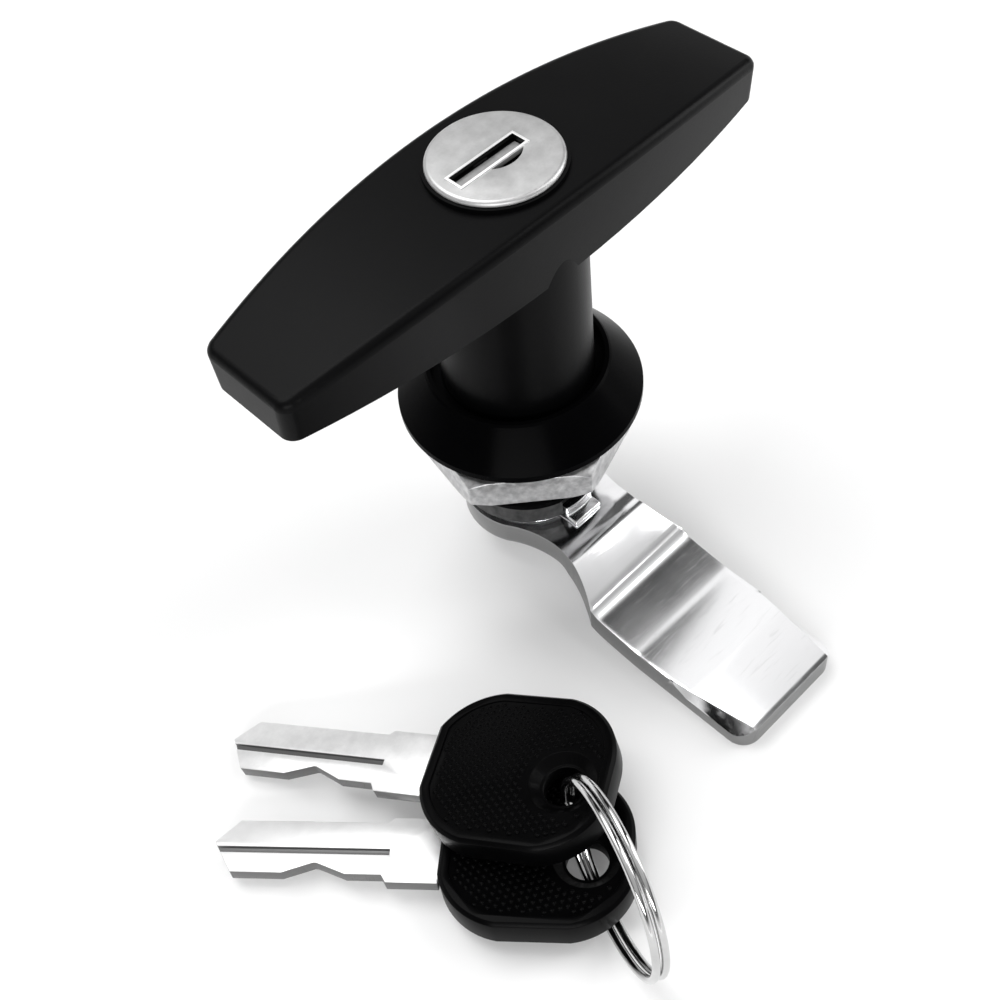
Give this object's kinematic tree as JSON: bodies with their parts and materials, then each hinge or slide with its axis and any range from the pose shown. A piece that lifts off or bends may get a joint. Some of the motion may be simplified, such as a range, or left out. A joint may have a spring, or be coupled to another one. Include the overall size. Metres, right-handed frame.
{
  "type": "t-handle cam lock",
  "caption": "Locking T-handle for a sheet metal door, with a round bezel, threaded barrel and nut, and a cranked cam that swings a quarter turn.",
  "frame": {"origin": "on the lock's axis at the outer face of the door that it is mounted in", "axes": "+Z out of the door along the lock's axis, X along the handle's bar, the cam points along -Y at rest"},
  "size_m": [0.1137, 0.0888, 0.0726],
  "materials": {
    "housing_coat": "black coat, bare grey at the barrel's end",
    "rubber": "black rubber",
    "nut_zinc": "mottled light zinc",
    "powder_coat": "satin black powder coat",
    "brass": "machined brass",
    "steel": "plain zinc-plated steel",
    "bright_chrome": "bright chrome plate",
    "satin_stainless": "satin stainless",
    "nickel": "nickel-plated brass",
    "key_plastic": "pebbled black plastic"
  },
  "bodies": {
    "housing": {"housing": "housing_coat", "panel_gasket": "rubber", "panel_nut": "nut_zinc"},
    "handle": {"t_handle": "powder_coat", "lock_shell": "brass", "shell_pin": "steel", "shaft_o_ring": "rubber", "wave_washer": "steel", "stop_washer": "bright_chrome", "cam": "bright_chrome", "cam_washer": "steel", "spring_washer": "steel", "cam_bolt": "steel"},
    "plug": {"plug": "brass", "face_cap": "satin_stainless", "plug_clip": "steel", "eccentric_pin": "steel", "shutter_pin": "steel", "shutter_spring": "steel"},
    "locking_bolt": {"locking_bolt": "steel"},
    "dust_shutter": {"dust_shutter": "satin_stainless"},
    "wafer_1": {"wafer_1": "brass", "wafer_spring_1": "steel"},
    "wafer_2": {"wafer_2": "brass", "wafer_spring_2": "steel"},
    "wafer_3": {"wafer_3": "brass", "wafer_spring_3": "steel"},
    "wafer_4": {"wafer_4": "brass", "wafer_spring_4": "steel"},
    "wafer_5": {"wafer_5": "brass", "wafer_spring_5": "steel"},
    "keys": {"key_a_blade": "nickel", "key_a_head": "key_plastic", "key_b_blade": "nickel", "key_b_head": "key_plastic", "key_ring": "bright_chrome"}
  },
  "joints": [
    {"name": "handle_turn", "type": "hinge", "parent": "housing", "child": "handle", "pos_m": [0, 0, 0], "axis": [0, 0, 1], "range_deg": [0, 90]},
    {"name": "plug_turn", "type": "hinge", "parent": "handle", "child": "plug", "pos_m": [0, 0, 0.042], "axis": [0, 0, 1], "range_deg": [0, 90]},
    {"name": "bolt_slide", "type": "slide", "parent": "handle", "child": "locking_bolt", "axis": [1, 0, 0], "range_m": [0, 0.00261]},
    {"name": "shutter_swing", "type": "hinge", "parent": "plug", "child": "dust_shutter", "pos_m": [-0.0012, 0.0018, 0.04115], "axis": [1, 0, 0], "range_deg": [0, 90], "stiffness_Nm_per_rad": 0.0005},
    {"name": "wafer_1_slide", "type": "slide", "parent": "plug", "child": "wafer_1", "axis": [1, 0, 0], "range_m": [0, 0.0009], "stiffness_N_per_m": 60},
    {"name": "wafer_2_slide", "type": "slide", "parent": "plug", "child": "wafer_2", "axis": [1, 0, 0], "range_m": [0, 0.0009], "stiffness_N_per_m": 60},
    {"name": "wafer_3_slide", "type": "slide", "parent": "plug", "child": "wafer_3", "axis": [1, 0, 0], "range_m": [0, 0.0009], "stiffness_N_per_m": 60},
    {"name": "wafer_4_slide", "type": "slide", "parent": "plug", "child": "wafer_4", "axis": [1, 0, 0], "range_m": [0, 0.0009], "stiffness_N_per_m": 60},
    {"name": "wafer_5_slide", "type": "slide", "parent": "plug", "child": "wafer_5", "axis": [1, 0, 0], "range_m": [0, 0.0009], "stiffness_N_per_m": 60},
    {"name": "keys_lift", "type": "slide", "parent": "housing", "child": "keys", "axis": [0, 0, 1], "range_m": [0, 0.02]}
  ],
  "couplings": [
    {"joint": "bolt_slide", "follows": "plug_turn", "m_per_rad": 0.0016566}
  ]
}
